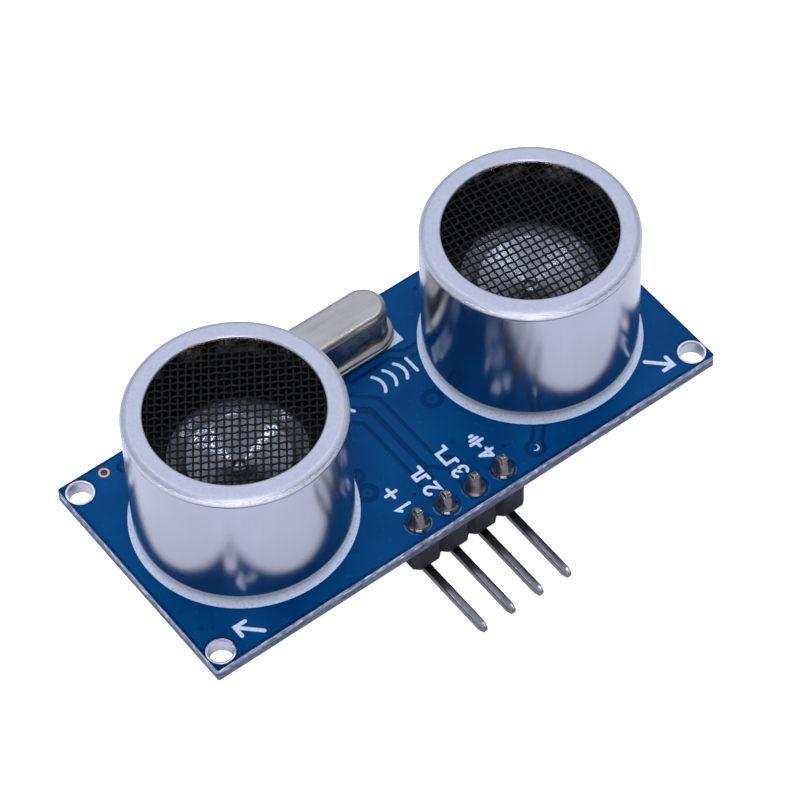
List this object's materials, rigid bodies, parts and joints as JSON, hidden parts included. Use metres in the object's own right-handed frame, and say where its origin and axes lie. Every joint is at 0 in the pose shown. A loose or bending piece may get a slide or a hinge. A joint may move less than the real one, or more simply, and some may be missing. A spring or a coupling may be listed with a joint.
{
  "type": "ultrasonic distance sensor",
  "caption": "Ultrasonic distance sensor module: round transmitter and receiver cans on a small circuit board, with a metal crystal can and a right-angle pin header.",
  "frame": {"origin": "centre of the four mounting holes, on the back face of the circuit board", "axes": "+Z the way the sensor looks, away from the front of the board; +X from the transmitter to the receiver, along the long side; +Y from the header's edge to the crystal's edge"},
  "size_m": [0.045, 0.0262, 0.0171],
  "materials": {
    "solder_mask": "gloss",
    "tinned_copper": "satin",
    "can_aluminium": "polished",
    "screen_wire": "satin",
    "horn_metal": "satin",
    "plate_brass": "satin",
    "piezo_ceramic": "matte",
    "silicone": "matte",
    "base_plastic": "matte",
    "copper_wire": "satin",
    "crystal_metal": "satin",
    "seal_glass": "gloss",
    "quartz": "gloss",
    "lead_metal": "satin",
    "tinned_pin": "satin",
    "solder": "satin",
    "header_plastic": "matte",
    "chip_plastic": "matte",
    "resistor_body": "satin",
    "capacitor_body": "matte",
    "silkscreen_ink": "matte"
  },
  "bodies": {
    "root": {"circuit_board": "solder_mask", "mounting_hole_plating": "tinned_copper", "crystal_can": "crystal_metal", "crystal_base": "crystal_metal", "crystal_leads": "lead_metal", "crystal_glass_seals": "seal_glass", "crystal_quartz_blank": "quartz", "crystal_support_clips": "lead_metal", "header_housing": "header_plastic", "header_solder_joints": "solder", "transducer_solder_joints": "solder", "crystal_solder_joints": "solder", "microcontroller_package": "chip_plastic", "microcontroller_leads": "lead_metal", "driver_chip_package": "chip_plastic", "driver_chip_leads": "lead_metal", "amplifier_chip_package": "chip_plastic", "amplifier_chip_leads": "lead_metal", "transistor_package": "chip_plastic", "transistor_leads": "lead_metal", "chip_resistors": "resistor_body", "chip_capacitors": "capacitor_body", "chip_end_caps": "lead_metal", "header_pin_1": "tinned_pin", "header_pin_2": "tinned_pin", "header_pin_3": "tinned_pin", "header_pin_4": "tinned_pin", "transmitter_can": "can_aluminium", "transmitter_screen": "screen_wire", "transmitter_horn": "horn_metal", "transmitter_vibrator_plate": "plate_brass", "transmitter_piezo_disc": "piezo_ceramic", "transmitter_damping_ring": "silicone", "transmitter_base": "base_plastic", "transmitter_terminals": "lead_metal", "transmitter_lead_wires": "copper_wire", "receiver_can": "can_aluminium", "receiver_screen": "screen_wire", "receiver_horn": "horn_metal", "receiver_vibrator_plate": "plate_brass", "receiver_piezo_disc": "piezo_ceramic", "receiver_damping_ring": "silicone", "receiver_base": "base_plastic", "receiver_terminals": "lead_metal", "receiver_lead_wires": "copper_wire"}
  },
  "joints": []
}
